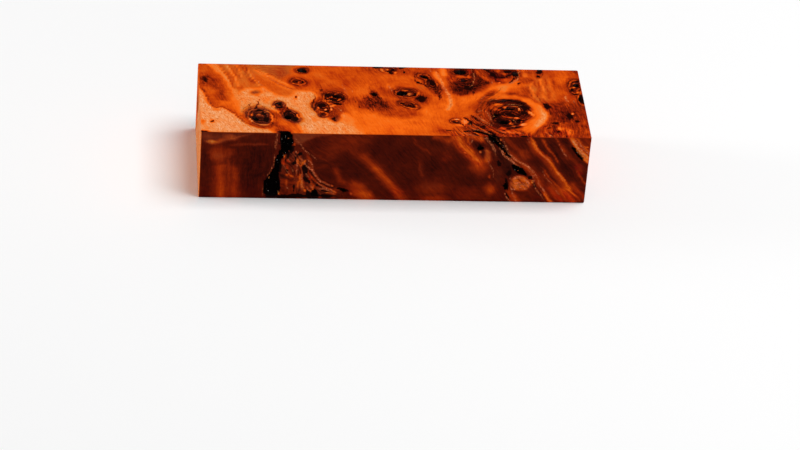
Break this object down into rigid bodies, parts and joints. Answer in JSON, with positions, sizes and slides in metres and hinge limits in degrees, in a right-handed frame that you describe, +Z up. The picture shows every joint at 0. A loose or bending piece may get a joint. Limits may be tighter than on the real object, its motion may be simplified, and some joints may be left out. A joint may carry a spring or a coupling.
{
  "type": "stabilized burl block",
  "caption": "Sawn rectangular block of orange-dyed stabilized burl wood with natural bark pits, a blank for handles and small turned or carved pieces.",
  "frame": {"origin": "middle of the lower broad face, on which the block rests", "axes": "+X along the length, +Y across the width, away from the side with the bark voids, and +Z up through the thickness"},
  "size_m": [0.125, 0.04, 0.0255],
  "materials": {
    "dyed_burl": "satin"
  },
  "bodies": {
    "root": {"burl_block": "dyed_burl"}
  },
  "joints": []
}
